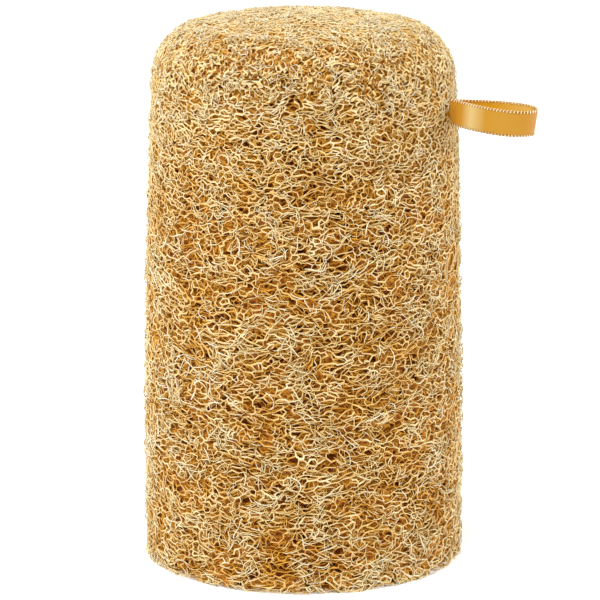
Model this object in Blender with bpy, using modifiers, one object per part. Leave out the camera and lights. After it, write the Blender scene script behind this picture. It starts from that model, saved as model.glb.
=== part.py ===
"""Natural loofah sponge with a ribbon hanging loop.

The sponge is the dried fibre skeleton of one gourd, trimmed to length, so it is one solid: a barrel whose
whole surface is a raised net of strands with pits between them. A satin ribbon is folded into a loop, its
two ends are tucked into a narrow pocket near the top, and a stitch of thread passes through both ends.

Metres, +Z up. The origin is the middle of the flat spot that the sponge stands on, +X runs out along the
ribbon loop.
"""

import math
import random

import bmesh
import bpy
import numpy as np
from mathutils import Matrix, Vector, geometry, noise

MM = 0.001

# Form of the sponge
HEIGHT = 153 * MM
BASE_RADIUS = 44.5 * MM
MIDDLE_RADIUS = 44.0 * MM
TOP_RADIUS = 41.0 * MM
FOOT_ROUND = 3 * MM
SHOULDER_ACROSS = 14.5 * MM
SHOULDER_DOWN = 15.7 * MM
CROWN_RISE = 3 * MM

# Net of strands that covers it
SEED = 11
CELL_SPACING = 20 * MM
TOP_CELL_SHARE = 0.85
CELL_STRETCH = 1.35
RIM_CELLS = 18
STRAND_WIDTH = 1.6 * MM
WALL_RUN = 0.9 * MM
PIT_DEPTHS = (2.0 * MM, 2.6 * MM, 3.2 * MM)
FOOT_PIT_DEPTH = 1.2 * MM
FOOT_LIFT = 0.25 * MM
REST_RADIUS = 36 * MM
SPOT_RADIUS = 8 * MM
WANDER = 1.6 * MM
WANDER_SIZE = 9 * MM
SWELL = 0.9 * MM
SWELL_SIZE = 24 * MM

# Ribbon loop: it leaves the sponge at its mouth and droops a little
RIBBON_WIDTH = 7 * MM
RIBBON_THICK = 0.6 * MM
LAYER_GAP = 0.3 * MM
MOUTH_RADIUS = 42 * MM
MOUTH_HEIGHT = 127 * MM
DROOP = math.radians(4)
LOOP_REACH = 23.6 * MM
TAIL_LENGTH = 10 * MM
STEM = 1 * MM
SPLAY = math.radians(33)
SPLAY_REACH = 24 * MM
TIP_REACH = 1.2 * MM

# Stitch through the ribbon's two ends
THREAD_RADIUS = 0.35 * MM
STITCH_INSET = 5.5 * MM
STITCH_LENGTH = 8 * MM

CLEARANCE = 0.3 * MM
POCKET_OVERRUN = 6 * MM
SHARP_ANGLE = math.radians(40)


def clear_scene():
    for obj in list(bpy.data.objects):
        bpy.data.objects.remove(obj)


def new_collection(name):
    collection = bpy.data.collections.new(name)
    bpy.context.scene.collection.children.link(collection)
    return collection


def add_object(name, data, collection):
    obj = bpy.data.objects.new(name, data)
    collection.objects.link(obj)
    return obj


def add_cutter(name, data, collection):
    obj = add_object(name, data, collection)
    obj.hide_render = True
    obj.display_type = "WIRE"
    return obj


def cut(target, cutter):
    boolean = target.modifiers.new("cut_" + cutter.name, "BOOLEAN")
    boolean.operation = "DIFFERENCE"
    boolean.object = cutter


def material(name, colour, roughness):
    mat = bpy.data.materials.new(name)
    mat.use_nodes = True
    shader = mat.node_tree.nodes["Principled BSDF"]
    shader.inputs["Base Color"].default_value = (*colour, 1)
    shader.inputs["Roughness"].default_value = roughness
    shader.inputs["Metallic"].default_value = 0
    return mat


def side_radius(z):
    """Radius of the barrel's side: a parabola through the base, middle and top radii."""
    t = z / HEIGHT
    base, middle, top = (1 - t) * (1 - 2 * t), 4 * t * (1 - t), t * (2 * t - 1)
    return BASE_RADIUS * base + MIDDLE_RADIUS * middle + TOP_RADIUS * top


class Skin:
    """The sponge's outer surface, addressed by an angle and a distance along its half outline.

    The distance starts at the middle of the foot and ends at the middle of the crown.
    """

    def __init__(self):
        self.flat_radius = side_radius(FOOT_ROUND) - FOOT_ROUND
        self.rows = self.outline(0.5 * MM)
        steps = np.linalg.norm(np.diff(self.rows, axis=0), axis=1)
        self.along = np.concatenate([[0], np.cumsum(steps)])
        self.length = self.along[-1]
        self.rim = self.flat_radius + FOOT_ROUND * math.pi / 4
        radius = np.maximum(self.rows[:, 0], MM)
        turns = steps / ((radius[1:] + radius[:-1]) / 2)
        self.stretch = np.concatenate([[0], np.cumsum(turns)])

    def outline(self, step):
        """The half outline as (radius, height) rows: foot, round, side, shoulder and crown."""
        quarter = np.linspace(0, math.pi / 2, 16)
        rows = [(r, 0.0) for r in np.arange(0, self.flat_radius, step)]
        rows += [
            (self.flat_radius + FOOT_ROUND * math.sin(a), FOOT_ROUND * (1 - math.cos(a))) for a in quarter
        ]
        shoulder = HEIGHT - CROWN_RISE - SHOULDER_DOWN
        rows += [(side_radius(z), z) for z in np.arange(FOOT_ROUND + step, shoulder, step)]
        crown_radius = side_radius(shoulder) - SHOULDER_ACROSS
        rows += [
            (crown_radius + SHOULDER_ACROSS * math.cos(a), shoulder + SHOULDER_DOWN * math.sin(a))
            for a in quarter
        ]
        rows += [
            (r, HEIGHT - CROWN_RISE * (r / crown_radius) ** 2)
            for r in np.arange(crown_radius - step, 0, -step)
        ]
        return np.array(rows + [(0.0, HEIGHT)])

    def ring(self, distance):
        """Radius and height at this distance along the outline."""
        radius = np.interp(distance, self.along, self.rows[:, 0])
        return float(radius), float(np.interp(distance, self.along, self.rows[:, 1]))

    def point(self, angle, distance):
        radius, z = self.ring(distance)
        return Vector((radius * math.cos(angle), radius * math.sin(angle), z))

    def outward(self, angle, distance):
        """Unit normal of the surface."""
        (r0, z0), (r1, z1) = self.ring(distance - MM), self.ring(distance + MM)
        across, up = z1 - z0, r0 - r1
        return Vector((across * math.cos(angle), across * math.sin(angle), up)).normalized()

    def nearest(self, point):
        """The angle and distance of the surface point nearest to this one."""
        away = self.rows - np.array([math.hypot(point.x, point.y), point.z])
        row = int(np.linalg.norm(away, axis=1).argmin())
        return math.atan2(point.y, point.x), float(self.along[row])

    def on_map(self, angle, distance):
        """The same place on a flat map, with the foot in its middle and the crown all round its rim.

        The map would keep every angle, but heights are drawn out by CELL_STRETCH.
        """
        reach = math.exp(CELL_STRETCH * np.interp(distance, self.along, self.stretch))
        return Vector((reach * math.cos(angle), reach * math.sin(angle)))


def scatter(skin, rng, tries=9000):
    """Random sites that keep their distance from each other, closer together towards the crown.

    A ring of sites comes first, so that strands follow the foot's rim. Heights count for more than widths
    by CELL_STRETCH, so the cells come out wider than they are tall.
    """
    sites = [((i + rng.uniform(-0.2, 0.2)) * math.tau / RIM_CELLS, skin.rim) for i in range(RIM_CELLS)]
    for _ in range(tries):
        angle = rng.uniform(-math.pi, math.pi)
        distance = rng.uniform(2 * SPOT_RADIUS, 0.985 * skin.length)
        radius, _ = skin.ring(distance)
        if rng.random() > radius / MIDDLE_RADIUS:
            continue
        spacing = CELL_SPACING * (1 + (TOP_CELL_SHARE - 1) * distance / skin.length)
        for other_angle, other_distance in sites:
            turn = math.remainder(angle - other_angle, math.tau)
            across = turn * (radius + skin.ring(other_distance)[0]) / 2
            if math.hypot(across, CELL_STRETCH * (distance - other_distance)) < spacing:
                break
        else:
            sites.append((angle, distance))
    return sites


def triangulated(skin, sites):
    """A closed mesh of triangles between the sites and the middle of the foot."""
    flat = [Vector((0, 0))] + [skin.on_map(*site) for site in sites]
    placed = [Vector((0, 0, 0))] + [skin.point(*site) for site in sites]
    _, _, triangles, origins, _, _ = geometry.delaunay_2d_cdt(flat, [], [], 0, 1e-6)
    bm = bmesh.new()
    for group in origins:
        bm.verts.new(placed[group[0]])
    bm.verts.ensure_lookup_table()
    for triangle in triangles:
        bm.faces.new([bm.verts[i] for i in triangle])
    bmesh.ops.holes_fill(bm, edges=[edge for edge in bm.edges if edge.is_boundary])
    bmesh.ops.triangulate(bm, faces=bm.faces)
    bmesh.ops.recalc_face_normals(bm, faces=bm.faces)
    return bm


def cut_corners(bm):
    """Turns a net of triangles into one of many-sided cells, in which three strands meet at each knot."""
    bmesh.ops.bevel(
        bm,
        geom=bm.verts,
        offset=100 / 3,
        offset_type="PERCENT",
        affect="VERTICES",
        segments=1,
        profile=0.5,
        material=-1,
    )


def seat_on_skin(bm, skin):
    """Puts every knot on the barrel's curved surface, a little astray, and gently raised or sunk.

    The knots round the middle of the foot stay in place, on the ground. The rest of the foot hangs just
    above the ground, but for three knots near its rim that the sponge rests on.
    """
    for vert in bm.verts:
        if vert.co.length < SPOT_RADIUS:
            continue
        astray = WANDER * noise.noise_vector(vert.co / WANDER_SIZE)
        angle, distance = skin.nearest(vert.co + astray)
        vert.co = skin.point(angle, distance)
        above_foot = min(max(distance - skin.flat_radius, 0) / SWELL_SIZE, 1)
        swell = SWELL * above_foot * noise.noise(vert.co / SWELL_SIZE)
        vert.co += swell * skin.outward(angle, distance)
        vert.co.z = max(vert.co.z, FOOT_LIFT)
    for turn in (0, math.tau / 3, 2 * math.tau / 3):
        low_point = REST_RADIUS * Vector((math.cos(turn), math.sin(turn), 0))
        knot = min(bm.verts, key=lambda vert: (vert.co - low_point).length)
        knot.co.z = 0


def dig_pits(bm, rng):
    """Narrows each cell to leave strands round it, then sinks its floor to one of three depths.

    Pits of the foot are shallow, so that its rim is whole. The middle of the foot is left as it is, as the
    flat spot that the sponge stands on.
    """
    spot = min(bm.faces, key=lambda face: face.calc_center_median().length)
    cells = [face for face in bm.faces if face is not spot]
    bmesh.ops.inset_individual(bm, faces=cells, thickness=STRAND_WIDTH / 2, use_even_offset=True)
    foot = [cell for cell in cells if cell.calc_center_median().z < FOOT_ROUND]
    side = [cell for cell in cells if cell.calc_center_median().z >= FOOT_ROUND]
    rng.shuffle(side)
    groups = [(FOOT_PIT_DEPTH, foot)]
    groups += [(depth, side[i :: len(PIT_DEPTHS)]) for i, depth in enumerate(PIT_DEPTHS)]
    for depth, pits in groups:
        bmesh.ops.inset_individual(
            bm, faces=pits, thickness=WALL_RUN, depth=-depth, use_even_offset=True
        )


def sponge_mesh():
    skin = Skin()
    rng = random.Random(SEED)
    bm = triangulated(skin, scatter(skin, rng))
    cut_corners(bm)
    seat_on_skin(bm, skin)
    dig_pits(bm, rng)
    for vert in bm.verts:
        vert.co.z = max(vert.co.z, 0)
    bmesh.ops.triangulate(bm, faces=bm.faces)
    mesh = bpy.data.meshes.new("loofah_sponge")
    bm.to_mesh(mesh)
    bm.free()
    return mesh


def at_mouth():
    """Where the ribbon leaves the sponge: +X out along the drooping loop, +Y across it."""
    return Matrix.Translation((MOUTH_RADIUS, 0, MOUTH_HEIGHT)) @ Matrix.Rotation(DROOP, 4, "Y")


def ribbon_curve():
    """The ribbon's line seen from above: in along one layer, round the loop and back along the other."""
    half_gap = (LAYER_GAP + RIBBON_THICK) / 2
    splay = SPLAY_REACH * Vector((math.cos(SPLAY), math.sin(SPLAY), 0))
    stem_end = Vector((STEM, half_gap, 0))
    tail_end = Vector((-TAIL_LENGTH, half_gap, 0))
    tip = Vector((LOOP_REACH, 0, 0))
    tip_turn = Vector((0, TIP_REACH, 0))
    near = Matrix.Diagonal((1, -1, 1))
    points = [
        (tail_end, tail_end, tail_end),
        (stem_end, stem_end, stem_end + splay),
        (tip, tip + tip_turn, tip - tip_turn),
        (near @ stem_end, near @ (stem_end + splay), near @ stem_end),
        (near @ tail_end, near @ tail_end, near @ tail_end),
    ]
    curve = bpy.data.curves.new("ribbon_line", "CURVE")
    curve.dimensions = "3D"
    curve.resolution_u = 10
    curve.extrude = RIBBON_WIDTH / 2
    spline = curve.splines.new("BEZIER")
    spline.bezier_points.add(len(points) - 1)
    for bezier_point, (place, before, after) in zip(spline.bezier_points, points):
        bezier_point.handle_left_type = "FREE"
        bezier_point.handle_right_type = "FREE"
        bezier_point.co = place
        bezier_point.handle_left = before
        bezier_point.handle_right = after
    return curve


def ribbon_loop(collection):
    guide = add_object("ribbon_line", ribbon_curve(), collection)
    bpy.context.view_layer.update()
    evaluated = guide.evaluated_get(bpy.context.evaluated_depsgraph_get())
    mesh = bpy.data.meshes.new_from_object(evaluated)
    bpy.data.objects.remove(guide)
    bm = bmesh.new()
    bm.from_mesh(mesh)
    bmesh.ops.remove_doubles(bm, verts=bm.verts, dist=0.01 * MM)
    bm.to_mesh(mesh)
    bm.free()
    mesh.shade_smooth()
    mesh.set_sharp_from_angle(angle=SHARP_ANGLE)
    loop = add_object("ribbon_loop", mesh, collection)
    loop.matrix_world = at_mouth()
    solidify = loop.modifiers.new("thickness", "SOLIDIFY")
    solidify.thickness = RIBBON_THICK
    solidify.offset = 0
    solidify.use_even_offset = True
    return loop


def rod_mesh(name, radius, length, sides=16):
    """A closed round rod along Y, at the stitch."""
    bm = bmesh.new()
    bmesh.ops.create_cone(
        bm, cap_ends=True, segments=sides, radius1=radius, radius2=radius, depth=length
    )
    across = Matrix.Rotation(math.pi / 2, 4, "X")
    place = at_mouth() @ Matrix.Translation((-STITCH_INSET, 0, 0))
    bmesh.ops.transform(bm, matrix=place @ across, verts=bm.verts)
    mesh = bpy.data.meshes.new(name)
    bm.to_mesh(mesh)
    bm.free()
    mesh.shade_smooth()
    mesh.set_sharp_from_angle(angle=SHARP_ANGLE)
    return mesh


def pocket_mesh():
    """The narrow pocket that holds the ribbon's two tails, open through the skin."""
    depth = TAIL_LENGTH + CLEARANCE
    thick = 2 * RIBBON_THICK + LAYER_GAP + 2 * CLEARANCE
    tall = RIBBON_WIDTH + 2 * CLEARANCE
    bm = bmesh.new()
    bmesh.ops.create_cube(bm, size=1)
    size = Matrix.Diagonal((depth + POCKET_OVERRUN, thick, tall, 1))
    place = at_mouth() @ Matrix.Translation(((POCKET_OVERRUN - depth) / 2, 0, 0))
    bmesh.ops.transform(bm, matrix=place @ size, verts=bm.verts)
    mesh = bpy.data.meshes.new("pocket")
    bm.to_mesh(mesh)
    bm.free()
    return mesh


clear_scene()
parts = new_collection("loofah_sponge_with_loop")
cutters = new_collection("cutters")

fibre = material("dried_loofah_fibre", (0.62, 0.40, 0.17), 0.85)
satin = material("gold_satin_ribbon", (0.70, 0.38, 0.08), 0.45)
cotton = material("gold_cotton_thread", (0.62, 0.36, 0.10), 0.80)

pocket = add_cutter("pocket", pocket_mesh(), cutters)
channel_radius = THREAD_RADIUS + CLEARANCE
channel_length = STITCH_LENGTH + 2 * CLEARANCE
channel = add_cutter("stitch_channel", rod_mesh("stitch_channel", channel_radius, channel_length), cutters)

sponge = add_object("loofah_sponge", sponge_mesh(), parts)
sponge.data.materials.append(fibre)
cut(sponge, pocket)
cut(sponge, channel)

ribbon = ribbon_loop(parts)
ribbon.data.materials.append(satin)
cut(ribbon, channel)

thread = add_object("tack_thread", rod_mesh("tack_thread", THREAD_RADIUS, STITCH_LENGTH), parts)
thread.data.materials.append(cotton)
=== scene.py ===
# %% [markdown]
# # A natural loofah sponge with a ribbon loop
#
# A loofah is the dried skeleton of a gourd: thousands of thin plant fibres that branch, cross and
# join in every direction. What makes it look right is depth. Pale strands lie on top, golden ones
# under them, and amber ones at the bottom of the pits. So the fibres are built as real strands at
# several depths, and not as a pattern on one surface.

import math

import bmesh
import bpy
import numpy as np
from mathutils import Matrix, Vector, geometry, kdtree, noise


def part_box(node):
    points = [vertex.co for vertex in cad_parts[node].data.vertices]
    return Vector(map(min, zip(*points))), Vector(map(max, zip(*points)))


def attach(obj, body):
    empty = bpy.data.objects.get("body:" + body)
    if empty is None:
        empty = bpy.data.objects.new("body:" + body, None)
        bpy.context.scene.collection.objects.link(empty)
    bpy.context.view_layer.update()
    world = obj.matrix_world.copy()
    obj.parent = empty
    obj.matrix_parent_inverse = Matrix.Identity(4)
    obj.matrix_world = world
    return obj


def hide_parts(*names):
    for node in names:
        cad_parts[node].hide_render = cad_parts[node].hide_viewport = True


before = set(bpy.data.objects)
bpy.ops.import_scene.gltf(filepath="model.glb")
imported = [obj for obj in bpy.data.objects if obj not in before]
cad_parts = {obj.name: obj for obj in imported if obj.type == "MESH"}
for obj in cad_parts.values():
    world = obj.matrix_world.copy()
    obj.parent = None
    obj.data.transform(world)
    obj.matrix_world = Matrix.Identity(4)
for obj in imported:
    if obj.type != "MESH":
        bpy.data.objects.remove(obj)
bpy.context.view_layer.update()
MM = 0.001
sponge_low, sponge_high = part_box("loofah_sponge")
HEIGHT = round(sponge_high.z, 3)
print("sponge height in mm", HEIGHT / MM)

# %% [markdown]
# ## The camera
#
# The camera comes first, because every later choice is judged through it. It stands almost a metre
# away with a long lens, a little above the middle of the sponge, so upright lines stay nearly
# parallel.

# %% Camera
CAMERA_AZIMUTH = math.radians(18)
CAMERA_HEIGHT_ANGLE = math.radians(13)
CAMERA_DISTANCE = 0.943
PIXELS_PER_METRE = 3593
IMAGE_SIDE = 600
AIM = Vector((-0.0009, -0.00029, 0.07172))


def add_camera():
    data = bpy.data.cameras.new("studio_camera")
    data.lens = data.sensor_width * PIXELS_PER_METRE * CAMERA_DISTANCE / IMAGE_SIDE
    camera = bpy.data.objects.new("studio_camera", data)
    bpy.context.scene.collection.objects.link(camera)
    level = math.cos(CAMERA_HEIGHT_ANGLE)
    back = Vector(
        (
            math.sin(CAMERA_AZIMUTH) * level,
            -math.cos(CAMERA_AZIMUTH) * level,
            math.sin(CAMERA_HEIGHT_ANGLE),
        )
    )
    camera.location = AIM + back * CAMERA_DISTANCE
    camera.rotation_euler = back.to_track_quat("Z", "Y").to_euler()
    bpy.context.scene.camera = camera
    return camera


camera = add_camera()
print("lens in mm", round(camera.data.lens, 1))

# %% [markdown]
# ## The sponge's skin
#
# Every strand is laid on one imaginary skin, a barrel with a tight foot, a wide round shoulder and
# a low crown. A place on it is an angle and a distance along the half outline, from the middle of
# the foot to the middle of the crown. That makes it easy to let a strand wander without leaving
# the form.

# %% The half outline
BASE_RADIUS = 44.5 * MM
MIDDLE_RADIUS = 44.0 * MM
TOP_RADIUS = 41.0 * MM
FOOT_ROUND = 0.6 * MM
SHOULDER_ACROSS = 14.5 * MM
SHOULDER_DOWN = 15.7 * MM
CROWN_RISE = 3 * MM


def side_radius(z):
    """A smooth curve through the radius at the foot, halfway up and at the top."""
    t = z / HEIGHT
    base, middle, top = (1 - t) * (1 - 2 * t), 4 * t * (1 - t), t * (2 * t - 1)
    return BASE_RADIUS * base + MIDDLE_RADIUS * middle + TOP_RADIUS * top


def half_outline(step=0.25 * MM):
    """Radius and height rows: foot, round, side, shoulder and crown."""
    quarter = np.linspace(0, math.pi / 2, 40)
    foot = side_radius(FOOT_ROUND) - FOOT_ROUND
    flat = [(r, 0.0) for r in np.arange(0, foot, step)]
    rim = [(foot + FOOT_ROUND * math.sin(a), FOOT_ROUND * (1 - math.cos(a))) for a in quarter]
    shoulder = HEIGHT - CROWN_RISE - SHOULDER_DOWN
    side = [(side_radius(z), z) for z in np.arange(FOOT_ROUND + step, shoulder, step)]
    crown = side_radius(shoulder) - SHOULDER_ACROSS
    turn = [
        (crown + SHOULDER_ACROSS * math.cos(a), shoulder + SHOULDER_DOWN * math.sin(a))
        for a in quarter
    ]
    inwards = np.arange(crown - step, 0, -step)
    dome = [(r, HEIGHT - CROWN_RISE * (r / crown) ** 2) for r in inwards]
    return np.array(flat + rim + side + turn + dome + [(0.0, HEIGHT)])


OUTLINE = half_outline()
ALONG = np.concatenate([[0], np.cumsum(np.linalg.norm(np.diff(OUTLINE, axis=0), axis=1))])
SKIN_LENGTH = ALONG[-1]
SLOPE = np.gradient(OUTLINE, ALONG, axis=0)
print("distance over the skin in mm", round(SKIN_LENGTH / MM, 1))


# %% From a place on the skin to a point in space
def ring_radius(distance):
    return np.interp(distance, ALONG, OUTLINE[:, 0])


def place(angle, distance, depth):
    """Points in space, for arrays of angles, distances and depths below the skin."""
    radius, height = ring_radius(distance), np.interp(distance, ALONG, OUTLINE[:, 1])
    across = np.interp(distance, ALONG, SLOPE[:, 1])
    up = -np.interp(distance, ALONG, SLOPE[:, 0])
    length = np.hypot(across, up)
    radius = radius - depth * across / length
    height = height - depth * up / length
    return np.stack([radius * np.cos(angle), radius * np.sin(angle), height], -1)


print("top of the skin in mm", place(0.0, SKIN_LENGTH, 0.0)[2] / MM)

# %% [markdown]
# ## Tone and depth on a map
#
# Real strands differ in how pale they are. The deeper a strand lies, the darker it is painted, as
# painted shade in the pits and under the strands above. A material could work out the depth from
# position, but that is awkward on a barrel with a round shoulder. So each point keeps its tone and
# its depth as a place on a map, tone across and depth upwards, and one material colours them all.

# %% The fibre map
FIBRE_MAP = "OFBake"
INNER_MAP = "tone_and_depth"
MAP_DEPTH = 5 * MM


def write_map(mesh, tone, depth):
    """Stores each point's tone and depth on the fibre map, a hair apart round the tube."""
    for layer in list(mesh.uv_layers):
        mesh.uv_layers.remove(layer)
    apart = 0.004 * (np.arange(len(tone)) % 3)
    across, upwards = np.clip(tone, 0.01, 0.97) + apart, np.clip(depth, 0.01, 0.97) + apart[::-1]
    uv = np.stack([across, upwards], -1)
    corner = np.empty(len(mesh.loops), np.int32)
    mesh.loops.foreach_get("vertex_index", corner)
    layer = mesh.uv_layers.new(name=FIBRE_MAP)
    layer.data.foreach_set("uv", uv[corner].astype(np.float32).ravel())


print("depth at the top of the fibre map in mm", MAP_DEPTH / MM)

# %% [markdown]
# ## The lit side of a strand
#
# A strand looks paler on its outer side than on its flanks, which keep their gold. The difference
# is drawn into the tone, because the lamps alone are too soft to draw it at this size.

# %% Paler outer sides
LIT_EDGE = 0.25
CORE_INSET = 0.04


def lit_edge(height):
    """How much paler a strand's outer side is than its flanks: twice as much on the crown."""
    return LIT_EDGE * (1 + np.clip((height - 0.135) / 0.012, 0, 1))


def outward_share(offset, middle):
    """From -1 to 1: how far each offset points away from the sponge's core."""
    height = np.clip(middle[:, 2], CORE_INSET, HEIGHT - CORE_INSET)
    core = np.stack([0 * middle[:, 0], 0 * middle[:, 1], height], -1)
    away = middle - core
    length = np.linalg.norm(offset, axis=1) * np.linalg.norm(away, axis=1)
    return (offset * away).sum(1) / np.maximum(length, 1e-12)


print("lit edge on the side and on the crown", lit_edge(0), lit_edge(HEIGHT))

# %% [markdown]
# ## Strands as tubes
#
# A strand is a curve with a three-sided section and a radius that changes from point to point. Both
# ends run down to nothing, so each tube closes in a point and needs no cap. Three sides are enough
# for a fibre half a millimetre thick, because smooth shading rounds it.


# %% Tubes from many strands at once
SIDES = 3


def fibre_section():
    section = bpy.data.curves.new("fibre_section", "CURVE")
    ring = section.splines.new("POLY")
    ring.points.add(SIDES - 1)
    for point, turn in zip(ring.points, range(SIDES)):
        angle = turn * math.tau / SIDES
        point.co = (math.cos(angle), math.sin(angle), 0, 1)
    ring.use_cyclic_u = True
    return bpy.data.objects.new("fibre_section", section)


def add_piece(name, mesh):
    piece = bpy.data.objects.new(name, mesh)
    bpy.context.scene.collection.objects.link(piece)
    return piece


def tube_mesh(name, points, radii):
    """A mesh with one closed tube for each row of points."""
    strands, count = radii.shape
    curve = bpy.data.curves.new(name, "CURVE")
    curve.dimensions = "3D"
    section = fibre_section()
    bpy.context.scene.collection.objects.link(section)
    curve.bevel_mode = "OBJECT"
    curve.bevel_object = section
    four = np.concatenate([points, np.ones((strands, count, 1))], -1).astype(np.float32)
    thickness = radii.copy()
    thickness[:, 0] = 0
    thickness[:, -1] = 0
    for i in range(strands):
        spline = curve.splines.new("POLY")
        spline.points.add(count - 1)
        spline.points.foreach_set("co", four[i].ravel())
        spline.points.foreach_set("radius", thickness[i].astype(np.float32))
    carrier = add_piece(name + "_line", curve)
    bpy.context.view_layer.update()
    finished = carrier.evaluated_get(bpy.context.evaluated_depsgraph_get())
    mesh = bpy.data.meshes.new_from_object(finished)
    bpy.data.objects.remove(carrier)
    bpy.data.objects.remove(section)
    return mesh


def tubes(name, points, radii, tones, depths):
    """One piece of many tubes. Each row is a strand, with a radius, a tone and a depth a point."""
    mesh = tube_mesh(name, points, radii)
    ring = np.empty(len(mesh.vertices) * 3)
    mesh.vertices.foreach_get("co", ring)
    middle = np.repeat(points.reshape(-1, 3), SIDES, 0)
    facing = lit_edge(middle[:, 2]) * outward_share(ring.reshape(-1, 3) - middle, middle)
    tone = np.repeat(tones.ravel(), SIDES) + facing
    write_map(mesh, tone, np.repeat(depths.ravel(), SIDES) / MAP_DEPTH)
    bm = bmesh.new()
    bm.from_mesh(mesh)
    bmesh.ops.remove_doubles(bm, verts=bm.verts, dist=1e-7)
    bm.to_mesh(mesh)
    bm.free()
    mesh.shade_smooth()
    return add_piece(name, mesh)


print("sides of a tube", SIDES)

# %% [markdown]
# ## Slow noise, fineness and tone
#
# A few quantities are shared by every layer. A slow noise varies things over the form. The fineness
# rises towards the top, where a loofah's end is felted. There the pits' painted shade is eased, a
# painted lighter top. The fibres are more open towards the foot and packed at its rim.

# %% Shared quantities
# How much the painted shade by depth is eased on the shoulder and crown.
CROWN_SHADE_EASING = 0.24
rng = np.random.default_rng(7)


def height_at(distance):
    return np.interp(distance, ALONG, OUTLINE[:, 1])


def slow_noise(points, size, seed):
    """Smooth noise from -1 to 1 at each point."""
    shift = Vector((seed * 3.1, seed * 1.7, seed * 2.3))
    flat = points.reshape(-1, 3) / size
    values = [noise.noise(Vector(p) + shift) for p in flat]
    return np.array(values).reshape(points.shape[:-1])


def fineness(distance):
    """From 0 in the coarse lower part to 1 on the fine, felted shoulder and crown."""
    t = np.clip((height_at(distance) - 0.085) / 0.055, 0, 1)
    return t * t * (3 - 2 * t)


def shade_eased_on_top(distance):
    """From 0 to its most on the shoulder: how much the pits' painted shade is eased, where light
    reaches through.
    """
    return CROWN_SHADE_EASING * np.clip((height_at(distance) - 0.115) / 0.03, 0, 1)


def openness(distance):
    """How open the fibres are: more so towards the foot."""
    return np.clip(1.45 - 6.5 * height_at(distance), 0.7, 1.45)


def at_rim(distance):
    """1 on the foot's rim, where the fibres are packed and hide the paper, and 0 away from it."""
    return np.clip(1 - np.abs(distance - BASE_RADIUS) / (4 * MM), 0, 1)


def facing_up(distance):
    """From 0 on the side to 1 on the flat of the crown."""
    return np.clip(-np.interp(distance, ALONG, SLOPE[:, 0]), 0, 1)


print("openness at the foot and at the crown", openness(0), openness(SKIN_LENGTH))

# %% [markdown]
# ## Reading a place back from a point
#
# The nets are shaped by mesh operators, which know nothing of the skin. So after them each point's
# distance and depth are read back, from the nearest row of the half outline.

# %% Distance and depth of a point
nearest_row = kdtree.KDTree(len(OUTLINE))
for i, (radius, height) in enumerate(OUTLINE):
    nearest_row.insert((radius, height, 0), i)
nearest_row.balance()


def below_skin(points):
    """Nearest distance along the outline and depth below the skin, for many points."""
    flat = np.stack([np.hypot(points[:, 0], points[:, 1]), points[:, 2], 0 * points[:, 2]], -1)
    rows = np.array([nearest_row.find(p)[1] for p in flat])
    across, up = SLOPE[rows, 1], -SLOPE[rows, 0]
    away = flat[:, :2] - OUTLINE[rows]
    depth = -(away[:, 0] * across + away[:, 1] * up) / np.maximum(np.hypot(across, up), 1e-9)
    return ALONG[rows], depth


print("rows in the outline", len(OUTLINE))

# %% [markdown]
# ## Three nets under the strands
#
# Most of what shows between the pale strands is a golden net of flatter fibres that have grown
# together. Three such nets lie one over another. The innermost is closed and has pits, and the
# other two are open, so that one sees through them. A net starts from sites scattered on the skin,
# because a regular grid would show.


# %% Sites of a net
def cell_size(distance, wide, tall):
    """Width and height of a cell: finer towards the top, and drawn out upwards on the crown."""
    share = 1 - 0.3 * fineness(distance)
    up = facing_up(distance)
    under = 1 + 0.5 * np.clip(np.interp(distance, ALONG, SLOPE[:, 0]), 0, 1)
    return wide * share * (1 - 0.25 * up) * under, tall * share * (1 + 0.5 * up) * under


def net_sites(wide, tall):
    """Angles and distances of jittered sites in rows from foot to crown."""
    angles, distances = [], []
    row = 1.5 * MM
    while row < SKIN_LENGTH - MM:
        across, along = cell_size(row, wide, tall)
        count = max(4, round(math.tau * float(ring_radius(row)) / across))
        turn = (np.arange(count) + rng.random()) / count * math.tau
        angles.append(turn + rng.normal(0, 0.26 / count * math.tau, count))
        distances.append(row + rng.normal(0, 0.26 * along, count))
        row += along
    distances = np.clip(np.concatenate(distances), MM, SKIN_LENGTH - MM)
    return np.concatenate(angles), distances


def map_reach(distances, wide, tall):
    """Distance from the middle of a flat map on which every cell is as wide as it is tall."""
    across, along = cell_size(ALONG[1:], wide, tall)
    turns = np.cumsum(np.diff(ALONG) / np.maximum(OUTLINE[1:, 0], MM) * across / along)
    return np.exp(np.interp(distances, ALONG, np.concatenate([[0], turns])))


print("cell on the side, as a share of its full size", cell_size(60 * MM, 1, 1))

# %% [markdown]
# ## Cells with three strands at each knot
#
# Fibres meet in threes. The sites are joined to triangles, and cutting every corner off a third of
# the way along leaves cells of about six sides with three edges at each knot. They would look like
# a honeycomb, so some neighbours are then joined, upright strands going first, which leaves longer
# level ones.

# %% Cells of a net
CORNER_PERCENT = 100 / 3


def join_cells(bm, lost):
    """Takes away the strand between some pairs of neighbouring cells, upright strands first."""
    taken, gone = set(), []
    bm.edges.ensure_lookup_table()
    bm.faces.index_update()
    for i in rng.permutation(len(bm.edges)):
        edge = bm.edges[int(i)]
        faces = {face.index for face in edge.link_faces}
        line = edge.verts[1].co - edge.verts[0].co
        upright = abs(line.z) / max(line.length, 1e-9)
        chosen = rng.random() < lost * (0.75 + 0.4 * upright)
        if chosen and len(faces) == 2 and not taken.intersection(faces):
            taken.update(faces)
            gone.append(edge)
    bmesh.ops.dissolve_edges(bm, edges=gone, use_verts=False)


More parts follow.
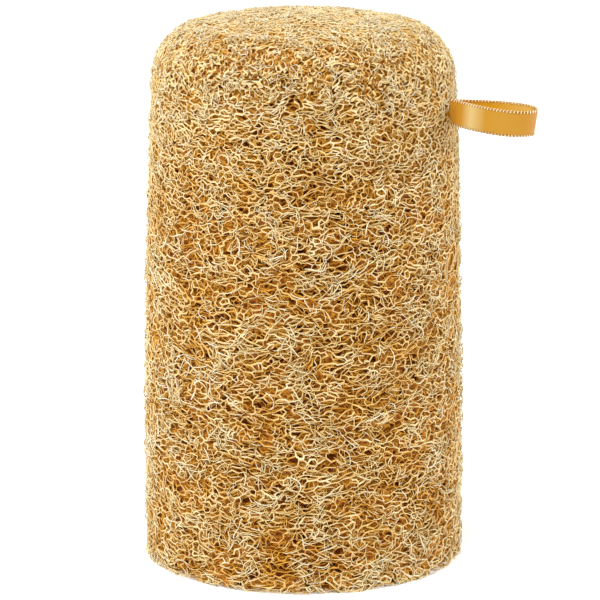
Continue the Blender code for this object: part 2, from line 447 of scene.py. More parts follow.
def net_cells(wide, tall, lost, rounds=1):
    """The cells of a net, on the skin itself. Each round joins some of them in pairs."""
    angles, distances = net_sites(wide, tall)
    reach = map_reach(distances, wide, tall)
    flat = [Vector(p) for p in np.stack([reach * np.cos(angles), reach * np.sin(angles)], -1)]
    placed = place(angles, distances, 0 * angles)
    sites = [Vector((0, 0))] + flat
    _, _, triangles, origins, _, _ = geometry.delaunay_2d_cdt(sites, [], [], 0, 1e-7)
    placed = np.concatenate([[[0, 0, 0]], placed])
    bm = bmesh.new()
    for group in origins:
        bm.verts.new(placed[group[0]])
    bm.verts.ensure_lookup_table()
    for triangle in triangles:
        bm.faces.new([bm.verts[i] for i in triangle])
    bmesh.ops.holes_fill(bm, edges=[edge for edge in bm.edges if edge.is_boundary])
    bmesh.ops.triangulate(bm, faces=bm.faces)
    bmesh.ops.recalc_face_normals(bm, faces=bm.faces)
    bmesh.ops.bevel(
        bm, geom=bm.verts, offset=CORNER_PERCENT, offset_type="PERCENT", affect="VERTICES",
        segments=1, profile=0.5, material=-1,
    )
    for _ in range(rounds):
        join_cells(bm, lost)
    return bm


def narrow(bm, cells, thickness, depth):
    """Narrows each cell by itself and sinks it, which leaves a ridge round it."""
    bmesh.ops.inset_individual(
        bm, faces=cells, thickness=thickness, depth=-depth, use_even_offset=True
    )


print("percent of an edge that each corner takes", round(CORNER_PERCENT, 1))

# %% [markdown]
# ## Sinking a net
#
# A real net is never flat. It drifts along the skin, so that no strand stays straight, and rises
# and falls over a few millimetres. Moving the finished mesh does both, and keeps its own relief.

# %% Drift and depth of a net
DRIFT = 0.9 * MM
LOWEST = 0.05 * MM


def drifted(co):
    """The points moved a little along all three axes, by a slow noise and a finer one."""
    slow = np.stack([slow_noise(co, 4 * MM, seed) for seed in (21, 22, 23)], -1)
    fine = np.stack([slow_noise(co, 1.7 * MM, seed) for seed in (24, 25, 26)], -1)
    return co + DRIFT * (slow + 0.5 * fine)


def sink(bm, depth, swell):
    """Lets a finished net drift and sink below the skin, unevenly. Returns its own relief."""
    co = np.array([vert.co for vert in bm.verts])
    _, relief = below_skin(co)
    astray = drifted(co)
    distance, _ = below_skin(astray)
    raised = swell * (slow_noise(co, 3.4 * MM, 31) + slow_noise(co, 11 * MM, 32))
    raised = raised * openness(distance) * (1 - 0.4 * fineness(distance))
    raised = raised + 0.6 * MM * facing_up(distance) * slow_noise(co, 1.5 * MM, 33)
    deep = depth + np.clip(relief, 0, 3 * MM) - raised
    deep = np.clip(deep, 0.1 * MM, MAP_DEPTH) * (1 - 0.75 * at_rim(distance))
    angle = np.arctan2(astray[:, 1], astray[:, 0])
    for vert, point in zip(bm.verts, place(angle, distance, deep)):
        vert.co = point
        vert.co.z = max(vert.co.z, LOWEST)
    return relief


print("drift of a net in mm", DRIFT / MM)

# %% [markdown]
# ## Finishing a net
#
# A finished net gets its tone and depth on the fibre map. The innermost one is also drawn over with
# fine lines, so it gets a second map that is laid out by place.

# %% Finished nets
RIDGE = 0.18 * MM


def add_place_map(mesh, co, distance):
    """Renames the fibre map and adds one laid out by place: angle across, distance upwards."""
    mesh.uv_layers[FIBRE_MAP].name = INNER_MAP
    corner = np.empty(len(mesh.loops), np.int32)
    mesh.loops.foreach_get("vertex_index", corner)
    turn = (np.arctan2(co[:, 1], co[:, 0]) / math.tau + 0.5)[corner].reshape(-1, 3)
    turn = np.where(turn.max(1, keepdims=True) - turn > 0.5, turn + 1, turn) * 0.97 + 0.005
    upwards = 0.01 + 0.98 * distance[corner] / SKIN_LENGTH
    uv = np.stack([np.clip(turn.ravel(), 0, 1), upwards], -1)
    layer = mesh.uv_layers.new(name=FIBRE_MAP)
    layer.data.foreach_set("uv", uv.astype(np.float32).ravel())


def finish_net(name, bm, relief, tone_shift, own_map=False):
    """Turns a net into a piece, its ridges painted paler than its flanks as a painted highlight."""
    bmesh.ops.triangulate(bm, faces=bm.faces)
    mesh = bpy.data.meshes.new(name)
    bm.to_mesh(mesh)
    bm.free()
    co = np.empty(len(mesh.vertices) * 3)
    mesh.vertices.foreach_get("co", co)
    co = co.reshape(-1, 3)
    distance, depth = below_skin(co)
    # The depth on the fibre map is painted shade, eased on the shoulder and crown.
    depth = depth * (1 - shade_eased_on_top(distance))
    uneven = 0.3 * slow_noise(co, 6 * MM, 9)
    tone = 0.5 + tone_shift + uneven + rng.uniform(-0.1, 0.1, len(co))
    # Painted highlight on the ridges, painted shade on the flanks.
    tone = tone + lit_edge(co[:, 2]) * (1 - 2 * np.clip(relief / RIDGE, 0, 1))
    write_map(mesh, tone, depth / MAP_DEPTH)
    if own_map:
        add_place_map(mesh, co, distance)
    mesh.shade_smooth()
    piece = add_piece(name, mesh)
    print(name, "triangles", len(mesh.polygons))
    return piece


# %% [markdown]
# ## The nets themselves
#
# In the closed net two cells in five are deep pits and the others are shallow. In the open nets the
# cells are cut out and only their ridges stay. Their strands differ in width, so the cells are
# narrowed in groups, a small cell never by more than it can bear.

# %% Inner, middle and outer net
PIT_SHARE = 0.4
STRAND_WIDTHS = np.array([0.05, 0.08, 0.11, 0.15, 0.20]) * MM


def inner_net():
    bm = net_cells(wide=4.4 * MM, tall=3.3 * MM, lost=0.25)
    is_pit = rng.random(len(bm.faces)) < PIT_SHARE
    cells = list(bm.faces)
    narrow(bm, [cell for cell, pit in zip(cells, is_pit) if pit], 0.50 * MM, 2.0 * MM)
    narrow(bm, [cell for cell, pit in zip(cells, is_pit) if not pit], 0.42 * MM, 0.8 * MM)
    relief = sink(bm, depth=1.3 * MM, swell=0.5 * MM)
    # The innermost net's lower tone adds to the painted shade by depth.
    return finish_net("inner_net", bm, relief, tone_shift=-0.05, own_map=True)


def open_net(name, wide, tall, depth, swell, tone_shift):
    """A net of thin strands with nothing in its cells."""
    bm = net_cells(wide, tall, lost=0.4, rounds=2)
    cells = list(bm.faces)
    allowed = 0.15 * np.sqrt([cell.calc_area() for cell in cells])
    group = np.minimum(rng.integers(2, 5, len(cells)), np.searchsorted(STRAND_WIDTHS, allowed))
    for number, width in enumerate(STRAND_WIDTHS):
        narrow(bm, [cell for cell, own in zip(cells, group) if own == number], width, RIDGE)
    bmesh.ops.delete(bm, geom=cells, context="FACES")
    relief = sink(bm, depth, swell)
    return finish_net(name, bm, relief, tone_shift)


# Deeper nets get a lower tone shift, which adds to the painted shade by depth.
MIDDLE_NET = dict(wide=5.0 * MM, tall=3.0 * MM, depth=0.9 * MM, swell=0.6 * MM, tone_shift=0.05)
OUTER_NET = dict(wide=4.3 * MM, tall=2.4 * MM, depth=0.35 * MM, swell=0.45 * MM, tone_shift=0.1)
net_pieces = [
    inner_net(),
    open_net("middle_net", **MIDDLE_NET),
    open_net("outer_net", **OUTER_NET),
]

# %% [markdown]
# ## Letting the fibres grow
#
# All the strands of a layer grow together, one step at a time. Each keeps a heading that drifts,
# which bends it gently, and is pulled towards level, because most of this sponge's long fibres run
# round it. Some layers start anywhere on the skin, and the branches start on an older layer.

# %% Where strands start and how they wander
FOOT_LENGTH = BASE_RADIUS - 5 * MM


def scattered(strands, level):
    """Angle, distance and heading of free strands: fewer under the foot, more on the crown."""
    distance = rng.uniform(0.02, 1, strands * 4) * SKIN_LENGTH
    shown = np.where(distance < FOOT_LENGTH, 0.35, 1) * (1 + 0.25 * fineness(distance)) / 1.25
    keep = rng.random(strands * 4) < ring_radius(distance) / MIDDLE_RADIUS * shown
    distance = distance[keep][:strands]
    count = len(distance)
    angle = rng.uniform(-math.pi, math.pi, count)
    heading = rng.uniform(-math.pi, math.pi, count)
    heading = np.where(rng.random(count) < level, rng.normal(0, 0.4, count), heading)
    return angle, distance, heading


def branching(strands, paths):
    """Angle, distance, heading and depth of strands that leave an older one sideways."""
    angles, distances, headings, depths = paths
    row = rng.integers(0, angles.shape[0], strands)
    column = rng.integers(1, angles.shape[1] - 1, strands)
    side = rng.choice([-1, 1], strands)
    heading = headings[row, column] + side * rng.uniform(0.5, 1.4, strands)
    return angles[row, column], distances[row, column], heading, depths[row, column]


def wander(angle, distance, heading, steps, step_length, level, bend):
    """Angles, distances and headings of all the strands, one column a step."""
    count = len(angle)
    curl = rng.normal(0, bend, count)
    path = []
    for _ in range(steps):
        path.append((angle.copy(), distance.copy(), heading.copy()))
        up = facing_up(distance)
        length = step_length * (1 - 0.3 * fineness(distance))
        curl = 0.75 * curl + 0.66 * rng.normal(0, bend, count) * (1 + fineness(distance))
        heading = heading + curl - level * 0.12 * (1 - up) * np.sin(2 * heading)
        angle = angle + length * np.cos(heading) / np.maximum(ring_radius(distance), 3 * MM)
        distance = distance + length * np.sin(heading)
        distance = np.where(distance < 1 * MM, 2 * MM - distance, distance)
        back = 2 * SKIN_LENGTH - 2 * MM - distance
        distance = np.where(distance > SKIN_LENGTH - MM, back, distance)
    return tuple(np.stack(rows, 1) for rows in zip(*path))


print("the foot's thin part reaches in mm", FOOT_LENGTH / MM)

# %% [markdown]
# ## Over and under
#
# A strand doesn't lie at one depth. It waves over and under its neighbours and dives at its free
# ends. Unless it is a branch, it also sinks where a slow noise says that the sponge is open. Depth
# could be left level and the colour varied instead, but then the strands would hardly shade each
# other.

# %% Growth of one layer
PROUD = 0.2 * MM
WAVE = 0.4 * MM
DIVE = 1.0 * MM
ROOT_BELOW = 0.12 * MM
PIT_DEPTH = 2.6 * MM


def free_strand(depth, share):
    """Depth and width of a strand whose two ends dive and thin out."""
    from_middle = np.abs(2 * share - 1)
    return depth + DIVE * from_middle**6, 1 - 0.3 * from_middle**3


def rooted_strand(depth, share, root_depth):
    """Depth and width of a branch, which is thickest at its root and dives at its tip."""
    near_root = np.exp(-share * 6)
    at_root = (root_depth[:, None] + ROOT_BELOW) * near_root
    depth = depth * (1 - near_root) + at_root + DIVE * share**5
    return depth, 0.8 + 0.7 * near_root - 0.25 * share**3


def pit_share(surface, distances):
    """From 0 upwards: how far a place lies in one of the sponge's open spots."""
    spots = np.clip(slow_noise(surface, 9 * MM, 5) - 0.05, 0, 1)
    return spots * (1 - 0.6 * fineness(distances)) * openness(distances)


def grow(strands, steps, step_length, level, bend, depth_range, thickness, roots=None):
    """Points, radii, tones and depths of one layer, and the paths that branches can start on."""
    if roots is None:
        start, root_depth = scattered(strands, level), None
    else:
        *start, root_depth = branching(strands, roots)
    angles, distances, headings = wander(*start, steps, step_length, level, bend)
    strands = len(angles)
    share = np.linspace(0, 1, steps)[None, :]
    centre = rng.uniform(*depth_range, (strands, 1))
    fine, up = fineness(distances), facing_up(distances)
    waves = rng.uniform(3, 9, (strands, 1)) + 12 * up
    rise = WAVE * (1 + 0.3 * up) * np.sin(share * waves + rng.uniform(0, 6.28, (strands, 1)))
    width = rng.uniform(*thickness, (strands, 1)) * (1 - 0.25 * fine)
    depth = centre + rise * (1 - 0.3 * fine)
    surface = place(angles, distances, 0 * distances)
    if root_depth is None:
        depth, profile = free_strand(depth, share)
        depth = depth + PIT_DEPTH * pit_share(surface, distances)
    else:
        depth, profile = rooted_strand(depth, share, root_depth)
    radii = width * profile
    tone = rng.uniform(0.28, 0.80, (strands, 1)) + 0.2 * slow_noise(surface, 14 * MM, 9)
    depth = np.maximum(depth, -PROUD)
    points = place(angles, distances, depth)
    points[..., 2] = np.maximum(points[..., 2], radii)
    # The depth on the fibre map is painted shade, eased on the shoulder and crown.
    shade = depth * (1 - shade_eased_on_top(distances))
    return points, radii, tone, shade, (angles, distances, headings, depth)


print("strands stand proud of the skin by at most, in mm", PROUD / MM)

# %% [markdown]
# ## The layers of strands
#
# Thicker strands lie deep, among the lower nets. Long ones run over the nets, and short branches
# leave the long ones. The two upper layers are cut in halves, so that no piece grows too large.
# Nothing grows into the pocket that the ribbon's ends are tucked into.

# %% Under, long and branch fibres
MOUTH_HEIGHT = 127 * MM
POCKET_BOTTOM = 0.03
POCKET_HALF_WIDTH = 1.3 * MM
POCKET_HALF_HEIGHT = 4.1 * MM
LONG = dict(
    strands=5000, steps=9, step_length=0.9 * MM, level=0.7, bend=0.22,
    depth_range=(-0.1 * MM, 0.7 * MM), thickness=(0.12 * MM, 0.21 * MM),
)
UNDER = dict(
    strands=1700, steps=8, step_length=1.1 * MM, level=0.3, bend=0.3,
    depth_range=(1.0 * MM, 1.8 * MM), thickness=(0.17 * MM, 0.30 * MM),
)
BRANCHES = dict(
    strands=6800, steps=7, step_length=0.75 * MM, level=0.3, bend=0.3,
    depth_range=(-0.2 * MM, 0.9 * MM), thickness=(0.10 * MM, 0.18 * MM),
)


def clear_of_ribbon(points):
    """True for strands that stay out of the ribbon's pocket."""
    level_with = np.abs(points[..., 2] - MOUTH_HEIGHT) < POCKET_HALF_HEIGHT
    near = (np.abs(points[..., 1]) < POCKET_HALF_WIDTH) & level_with
    return ~(near & (points[..., 0] > POCKET_BOTTOM)).any(1)


def strand_piece(name, grown):
    points, radii, tone, depth = grown
    kept = clear_of_ribbon(points)
    tone = np.broadcast_to(tone, radii.shape)
    piece = tubes(name, points[kept], radii[kept], tone[kept], depth[kept])
    print(name, "triangles", sum(len(p.vertices) - 2 for p in piece.data.polygons))
    return piece


*long_grown, long_paths = grow(**LONG)
*branch_grown, _ = grow(**BRANCHES, roots=long_paths)
*under_grown, _ = grow(**UNDER)
fibre_pieces = [strand_piece("under_fibres", under_grown)]
for name, grown in (("long_fibres", long_grown), ("branch_fibres", branch_grown)):
    middle = len(grown[1]) // 2
    for part, rows in (("a", slice(0, middle)), ("b", slice(middle, None))):
        half = [values[rows] for values in grown]
        fibre_pieces.append(strand_piece(f"{name}_{part}", half))

# %% [markdown]
# ## Fibre colour
#
# Dry loofah is pale straw. Further in it is painted gold and then amber, as painted shade in the
# pits and under the upper strands. Tone and depth are already on the fibre map, so the colour needs
# one ramp for each, multiplied. Two materials use this, so it is a node group.

# %% Helpers for materials
# Painted shade: the fibre is darker and more amber the deeper it lies below the skin.
PAINTED_DEPTH_SHADE = [
    (0.0, (0.77, 0.725, 0.54)),
    (0.08, (0.73, 0.61, 0.35)),
    (0.20, (0.65, 0.35, 0.036)),
    (0.44, (0.49, 0.205, 0.006)),
    (0.66, (0.31, 0.095, 0.003)),
]
# The tone holds each strand's own paleness and the painted highlight on its outer side.
TONE_TINTS = [(0.0, (0.67, 0.48, 0.21)), (0.5, (0.93, 0.80, 0.54)), (1.0, (0.98, 1.04, 1.2))]


def new_material(name, roughness):
    material = bpy.data.materials.new(name)
    material.use_nodes = True
    shader = material.node_tree.nodes["Principled BSDF"]
    shader.inputs["Roughness"].default_value = roughness
    shader.inputs["Specular IOR Level"].default_value = 0.25
    return material, material.node_tree, shader


def add_ramp(tree, stops, factor):
    """A colour ramp with its stops, driven by an output. Gives its colour."""
    node = tree.nodes.new("ShaderNodeValToRGB")
    ramp = node.color_ramp
    while len(ramp.elements) < len(stops):
        ramp.elements.new(0.5)
    for element, (position, colour) in zip(ramp.elements, stops):
        element.position = position
        element.color = (*colour, 1)
    tree.links.new(factor, node.inputs["Fac"])
    return node.outputs["Color"]


def multiply(tree, first, second):
    mix = tree.nodes.new("ShaderNodeMix")
    mix.data_type = "RGBA"
    mix.blend_type = "MULTIPLY"
    mix.inputs["Factor"].default_value = 1
    tree.links.new(first, mix.inputs["A"])
    tree.links.new(second, mix.inputs["B"])
    return mix.outputs["Result"]


def add_bump(tree, shader, height, strength, distance, invert=False):
    """A bump from a height output into the shader's normal."""
    bump = tree.nodes.new("ShaderNodeBump")
    bump.invert = invert
    bump.inputs["Strength"].default_value = strength
    bump.inputs["Distance"].default_value = distance
    tree.links.new(height, bump.inputs["Height"])
    tree.links.new(bump.outputs["Normal"], shader.inputs["Normal"])


def depth_colour_group():
    """Node group: a place on the fibre map in, the dry fibre's colour with its painted depth shade
    out.
    """
    tree = bpy.data.node_groups.new("depth_colour", "ShaderNodeTree")
    tree.interface.new_socket("Place", in_out="INPUT", socket_type="NodeSocketVector")
    tree.interface.new_socket("Color", in_out="OUTPUT", socket_type="NodeSocketColor")
    nodes, links = tree.nodes, tree.links
    inside, outside = nodes.new("NodeGroupInput"), nodes.new("NodeGroupOutput")
    split = nodes.new("ShaderNodeSeparateXYZ")
    links.new(inside.outputs["Place"], split.inputs[0])
    depth_shade = add_ramp(tree, PAINTED_DEPTH_SHADE, split.outputs["Y"])
    by_tone = add_ramp(tree, TONE_TINTS, split.outputs["X"])
    links.new(multiply(tree, depth_shade, by_tone), outside.inputs["Color"])
    return tree


depth_colour = depth_colour_group()


def fibre_colour(tree, uv_name):
    uv = tree.nodes.new("ShaderNodeUVMap")
    uv.uv_map = uv_name
    colour = tree.nodes.new("ShaderNodeGroup")
    colour.node_tree = depth_colour
    tree.links.new(uv.outputs["UV"], colour.inputs["Place"])
    return colour.outputs["Color"]


print("stops from the skin to the pits", len(PAINTED_DEPTH_SHADE))

# %% [markdown]
# ## Strands and ground
#
# The strands take their colour as it is. The innermost net stands for fibres far too fine to build,
# so a web of pale lines is drawn over it, with dark gaps between that are painted shade in the
# holes among those fibres, and a bump of its own. Stirring the web with noise bends its lines,
# which would be straight otherwise.

# %% Fibre materials
# Pale fine fibres along the web's lines, painted shade in the gaps between them.
WEB_LINES_AND_GAP_SHADE = [
    (0.0, (1.3, 1.4, 1.6)),
    (0.07, (1.25, 1.3, 1.5)),
    (0.13, (0.95, 0.9, 0.8)),
    (0.30, (0.75, 0.62, 0.4)),
    (0.42, (0.28, 0.14, 0.06)),
]


def strand_material():
    material, tree, shader = new_material("loofah_fibre", 0.55)
    tree.links.new(fibre_colour(tree, FIBRE_MAP), shader.inputs["Base Color"])
    return material


def ground_material():
    """The fibre colours with the finest fibres drawn over them as a web of lines, and painted shade
    in the gaps.
    """
    material, tree, shader = new_material("loofah_ground", 0.6)
    nodes, links = tree.nodes, tree.links
    place_in = nodes.new("ShaderNodeTexCoord")
    stir = nodes.new("ShaderNodeTexNoise")
    stir.inputs["Scale"].default_value = 500
    stir.inputs["Detail"].default_value = 1
    links.new(place_in.outputs["Object"], stir.inputs["Vector"])
    scaled = nodes.new("ShaderNodeVectorMath")
    scaled.operation = "MULTIPLY_ADD"
    scaled.inputs[1].default_value = (0.0014, 0.0014, 0.0014)
    links.new(stir.outputs["Color"], scaled.inputs[0])
    links.new(place_in.outputs["Object"], scaled.inputs[2])
    web = nodes.new("ShaderNodeTexVoronoi")
    web.feature = "DISTANCE_TO_EDGE"
    web.inputs["Scale"].default_value = 620
    links.new(scaled.outputs[0], web.inputs["Vector"])
    web_and_gap_shade = add_ramp(tree, WEB_LINES_AND_GAP_SHADE, web.outputs["Distance"])
    colour = multiply(tree, fibre_colour(tree, INNER_MAP), web_and_gap_shade)
    links.new(colour, shader.inputs["Base Color"])
    add_bump(tree, shader, web.outputs["Distance"], 0.7, 0.0003, invert=True)
    return material


strand_finish, ground_finish = strand_material(), ground_material()
for piece in fibre_pieces + net_pieces[1:]:
    piece.data.materials.append(strand_finish)
net_pieces[0].data.materials.append(ground_finish)
print("pieces with the fibre's colour", len(fibre_pieces + net_pieces))

# %% [markdown]
# ## The ribbon
#
# The hanging loop is one length of satin ribbon, folded at its tip, with both ends tucked into the
# sponge. It could be a simulated cloth, but it is stiff and hardly bends across its width. So it is
# a flat strap laid along the loop's line, whose top edge leans outwards a little towards the tip.

# %% The loop's line
RIBBON_WIDTH = 7 * MM
RIBBON_THICK = 0.34 * MM
MOUTH_OUT = 42 * MM
MOUTH_TURN = Matrix.Rotation(math.radians(4), 4, "Y")
RIBBON_MOUTH = Matrix.Translation((MOUTH_OUT, 0, MOUTH_HEIGHT)) @ MOUTH_TURN
LOOP_REACH = 23.6 * MM
HALF_GAP = 0.45 * MM
TIP_TWIST = math.radians(4.5)


def loop_line(steps=48):
    """Points from one tucked end round the tip to the other, seen from above."""
    stem = np.array([1 * MM, HALF_GAP])
    splay = 24 * MM * np.array([math.cos(math.radians(33)), math.sin(math.radians(33))])
    tip = np.array([LOOP_REACH, 0])
    t = np.linspace(0, 1, steps)[:, None]
    half = (
        (1 - t) ** 3 * stem
        + 3 * t * (1 - t) ** 2 * (stem + splay)
        + 3 * t**2 * (1 - t) * (tip + [0, 1.2 * MM])
        + t**3 * tip
    )
    tail = np.linspace([-9.5 * MM, HALF_GAP], stem, 12, endpoint=False)
    half = np.concatenate([tail, half])
    return np.concatenate([half, half[-2::-1] * [1, -1]])


class Loop:
    """The ribbon's line, its outward side and its lean, by distance along it."""

    def __init__(self):
        line = loop_line()
        steps = np.linalg.norm(np.diff(line, axis=0), axis=1)
        self.along = np.concatenate([[0], np.cumsum(steps)])
        self.length = self.along[-1]
        self.line = line
        tangent = np.gradient(line, self.along, axis=0)
        self.tangent = tangent / np.linalg.norm(tangent, axis=1)[:, None]

    def at(self, distance, across, outwards):
        """A point in the sponge's frame, across the ribbon and outwards from its middle layer."""
        x, y, tx, ty = (
            float(np.interp(distance, self.along, values))
            for values in (*self.line.T, *self.tangent.T)
        )
        lean = TIP_TWIST * min(max(x / LOOP_REACH, 0), 1) ** 2
        out = Vector((-ty, tx, 0)).normalized()
        up = Vector((0, 0, 1)) * math.cos(lean) + out * math.sin(lean)
        away = out * math.cos(lean) - Vector((0, 0, 1)) * math.sin(lean)
        return RIBBON_MOUTH @ (Vector((x, y, 0)) + up * across + away * outwards)


loop = Loop()
print("ribbon length in mm", round(loop.length / MM, 1))


# %% Ribbon strap
def ribbon_strap():
    bm = bmesh.new()
    bm.loops.layers.uv.new("weave")
    bmesh.ops.create_grid(bm, x_segments=150, y_segments=8, size=0.5, calc_uvs=True)
    for vert in bm.verts:
        vert.co = loop.at((vert.co.x + 0.5) * loop.length, vert.co.y * RIBBON_WIDTH, 0)
    mesh = bpy.data.meshes.new("satin_loop")
    bm.to_mesh(mesh)
    bm.free()
    mesh.shade_smooth()
    strap = add_piece("satin_loop", mesh)
    thickness = strap.modifiers.new("thickness", "SOLIDIFY")
    thickness.thickness = RIBBON_THICK
    thickness.offset = 0
    thickness.use_even_offset = True
    return strap


strap = ribbon_strap()
print("faces of the strap before it gets its thickness", len(strap.data.polygons))

# %% [markdown]
# ## The stitched edges
#
# A satin ribbon's long edges are bound so that they don't fray, and at this size the binding shows
# as a row of pale beads. One wavy line along the edge would look like piping, so each stitch is a
# short tube of its own. It slants over the edge and is thickest where it lies on either face.

# %% Stitches along both edges
STITCH_PITCH = 0.92 * MM
STITCH_REACH = 0.6 * MM
STITCH_STAND_OFF = 0.24 * MM
STITCH_OVERHANG = 0.16 * MM
STITCH_SLANT = 0.22 * MM


def selvedge():
    """Short slanted stitches that wrap each long edge of the ribbon."""
    count = int(loop.length / STITCH_PITCH)
    wrap = np.linspace(-1, 1, 9)
    rows, radii = [], []
    for edge in (-1, 1):
        for i in range(count):
            middle = (i + 0.5) / count * loop.length
            row = []
            for t in wrap:
                over = (STITCH_REACH + STITCH_OVERHANG) * math.cos(t * math.pi / 2)
                across = edge * (RIBBON_WIDTH / 2 - STITCH_REACH + over)
                off = STITCH_STAND_OFF * math.sin(t * math.pi / 2)
                row.append(loop.at(middle + STITCH_SLANT * t, across, off))
            rows.append(row)
            radii.append(0.09 * MM + 0.13 * MM * np.sin(wrap**2 * math.pi) ** 2)
    shape = (len(rows), len(wrap))
    tones = np.broadcast_to(rng.uniform(0.6, 0.9, (len(rows), 1)), shape)
    print("stitches round the ribbon", len(rows))
    return tubes("ribbon_selvedge", np.array(rows), np.array(radii), tones, np.zeros(shape))


edging = selvedge()

# %% [markdown]
# ## Satin
#
# Satin is woven so that long threads lie on top, which gives a soft gloss in bands where the cloth
# bends. The bands could be left to the lights alone, but the loop is too small for soft lamps to
# draw them. So a ramp along the ribbon paints them: painted highlights where it bends, painted
# shade near its root and the fold at its tip. A second ramp darkens the gold along its edges, and a
# fine wave bump stands for the weave.

# %% Satin material
# Painted highlights where the ribbon bends and painted shade near its root and the fold at its tip.
SATIN_SHEEN_AND_SHADE = [
    (0.13, (0.46, 0.20, 0.008)),
    (0.28, (0.58, 0.27, 0.008)),
    (0.42, (0.64, 0.40, 0.09)),
    (0.485, (0.42, 0.175, 0.004)),
    (0.56, (0.43, 0.195, 0.006)),
    (0.71, (0.47, 0.235, 0.02)),
    (0.775, (0.64, 0.48, 0.20)),
    (0.82, (0.54, 0.26, 0.03)),
    (0.88, (0.50, 0.215, 0.012)),
]
SATIN_RIM = [
    (0.0, (0.66, 0.58, 0.45)),
    (0.07, (0.72, 0.64, 0.5)),
    (0.1, (1, 1, 1)),
    (0.9, (1, 1, 1)),
    (0.93, (0.72, 0.64, 0.5)),
    (1.0, (0.66, 0.58, 0.45)),
]


def satin_material():
    material, tree, shader = new_material("gold_satin", 0.38)
    nodes, links = tree.nodes, tree.links
    uv = nodes.new("ShaderNodeUVMap")
    uv.uv_map = "weave"
    split = nodes.new("ShaderNodeSeparateXYZ")
    links.new(uv.outputs["UV"], split.inputs[0])
    sheen_and_shade = add_ramp(tree, SATIN_SHEEN_AND_SHADE, split.outputs["X"])
    rim = add_ramp(tree, SATIN_RIM, split.outputs["Y"])
    links.new(multiply(tree, sheen_and_shade, rim), shader.inputs["Base Color"])
    weave = nodes.new("ShaderNodeTexWave")
    weave.inputs["Scale"].default_value = 60
    weave.bands_direction = "Y"
    links.new(uv.outputs["UV"], weave.inputs["Vector"])
    add_bump(tree, shader, weave.outputs["Fac"], 0.15, 0.00005)
    return material


strap.data.materials.append(satin_material())
print("bands along the ribbon", len(SATIN_SHEEN_AND_SHADE))

# %% [markdown]
# ## Stitch thread and tack thread
#
# The edge stitches are pale, and each has a tone of its own from the fibre map, paler on its outer
# side as painted light. The tack thread sits hidden in the sponge and holds the ribbon's ends. It
# is two plies twisted together, which slanting bands show well enough on a thread this thin: a
# painted highlight on each ply's back and painted shade between the plies.

# %% Thread materials
STITCH_TINTS = [(0.2, (0.60, 0.28, 0.04)), (0.8, (1.0, 0.88, 0.58))]
PLY_HIGHLIGHT_AND_SHADE = [(0.1, (0.42, 0.22, 0.05)), (0.7, (0.66, 0.42, 0.14))]


def selvedge_material():
    material, tree, shader = new_material("selvedge_thread", 0.5)
    nodes, links = tree.nodes, tree.links
    uv = nodes.new("ShaderNodeUVMap")
    uv.uv_map = FIBRE_MAP
    split = nodes.new("ShaderNodeSeparateXYZ")
    links.new(uv.outputs["UV"], split.inputs[0])
    links.new(add_ramp(tree, STITCH_TINTS, split.outputs["X"]), shader.inputs["Base Color"])
    return material


def thread_material():
    """Two plies twisted together: slanting bands, a painted highlight on each ply's back and
    painted shade between.
    """
    material, tree, shader = new_material("tack_thread", 0.7)
    nodes, links = tree.nodes, tree.links
    place_in = nodes.new("ShaderNodeTexCoord")
    slant = nodes.new("ShaderNodeMapping")
    slant.inputs["Rotation"].default_value = (math.radians(35), 0, math.radians(35))
    links.new(place_in.outputs["Object"], slant.inputs["Vector"])
    plies = nodes.new("ShaderNodeTexWave")
    plies.bands_direction = "Y"
    plies.inputs["Scale"].default_value = 900
    plies.inputs["Distortion"].default_value = 0.6
    links.new(slant.outputs["Vector"], plies.inputs["Vector"])
    links.new(add_ramp(tree, PLY_HIGHLIGHT_AND_SHADE, plies.outputs["Fac"]), shader.inputs["Base Color"])
    add_bump(tree, shader, plies.outputs["Fac"], 0.8, 0.0001)
    return material


edging.data.materials.append(selvedge_material())
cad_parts["tack_thread"].material_slots[0].material = thread_material()
print("threads are coloured over tones", STITCH_TINTS[0][0], "to", STITCH_TINTS[1][0])

# %% [markdown]
# ## Studio
#
# The sponge stands on plain white paper in soft light. A high lamp near the camera brings out the
# relief, and a wide lamp on each side keeps the edges bright. The paper glows faintly, so that it
# stays white.

# %% Lamps
WORLD_STRENGTH = 0.5


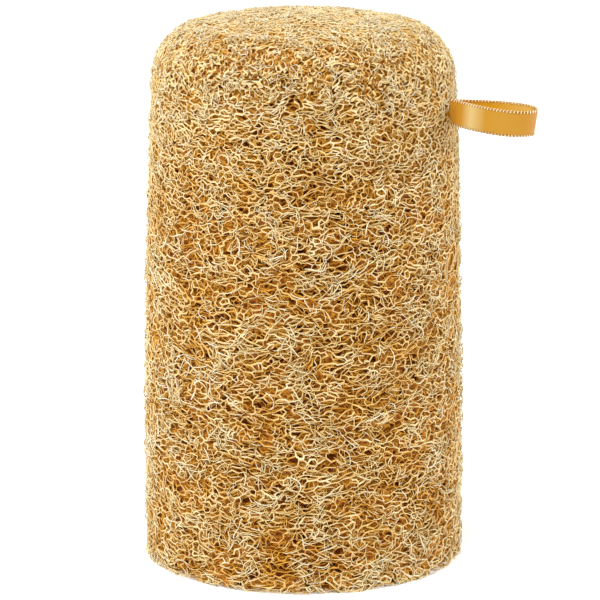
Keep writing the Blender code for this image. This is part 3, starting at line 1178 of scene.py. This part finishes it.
def add_light(name, power, size, where):
    data = bpy.data.lights.new(name, "AREA")
    data.energy = power
    data.size = size
    light = bpy.data.objects.new(name, data)
    light.location = where
    aim = Vector(where) - Vector((0, 0, HEIGHT / 2))
    light.rotation_euler = aim.to_track_quat("Z", "Y").to_euler()
    bpy.context.scene.collection.objects.link(light)
    return light


def around(azimuth, elevation, distance=1.2):
    """A place seen from the sponge at an angle from the camera's own azimuth, in degrees."""
    a = CAMERA_AZIMUTH + math.radians(azimuth)
    e = math.radians(elevation)
    return (
        distance * math.sin(a) * math.cos(e),
        -distance * math.cos(a) * math.cos(e),
        HEIGHT / 2 + distance * math.sin(e),
    )


lamps = [
    add_light("key_light", power=13.8, size=0.35, where=around(-25, 60)),
    add_light("left_light", power=6.5, size=0.8, where=around(-95, 25)),
    add_light("right_light", power=9, size=0.8, where=around(95, 20)),
]
world = bpy.data.worlds.new("studio_world")
world.use_nodes = True
sky = world.node_tree.nodes["Background"]
sky.inputs["Color"].default_value = (1, 1, 1, 1)
sky.inputs["Strength"].default_value = WORLD_STRENGTH
bpy.context.scene.world = world
bpy.context.scene.view_settings.view_transform = "Standard"
print("lamps", len(lamps))

# %% Paper
PAPER_SIZE = 4
PAPER_GLOW = 0.39
bm = bmesh.new()
bmesh.ops.create_grid(bm, x_segments=1, y_segments=1, size=PAPER_SIZE)
floor_data = bpy.data.meshes.new("studio_floor")
bm.to_mesh(floor_data)
bm.free()
studio_floor = add_piece("studio_floor", floor_data)
paper, _, paper_shader = new_material("white_paper", 0.9)
paper_shader.inputs["Base Color"].default_value = (0.95, 0.95, 0.95, 1)
paper_shader.inputs["Emission Color"].default_value = (1, 1, 1, 1)
paper_shader.inputs["Emission Strength"].default_value = PAPER_GLOW
studio_floor.data.materials.append(paper)
print("paper glow", PAPER_GLOW)

# %% [markdown]
# ## Handing over
#
# Each finished piece is hung on the frame's body that it rides on, and the solid that it is shown
# in place of is hidden.

# %% Hand over
for piece in fibre_pieces + net_pieces:
    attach(piece, "root")
    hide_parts("loofah_sponge")
for piece in (strap, edging):
    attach(piece, "root")
    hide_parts("ribbon_loop")
print("pieces handed over", len(fibre_pieces + net_pieces) + 2)
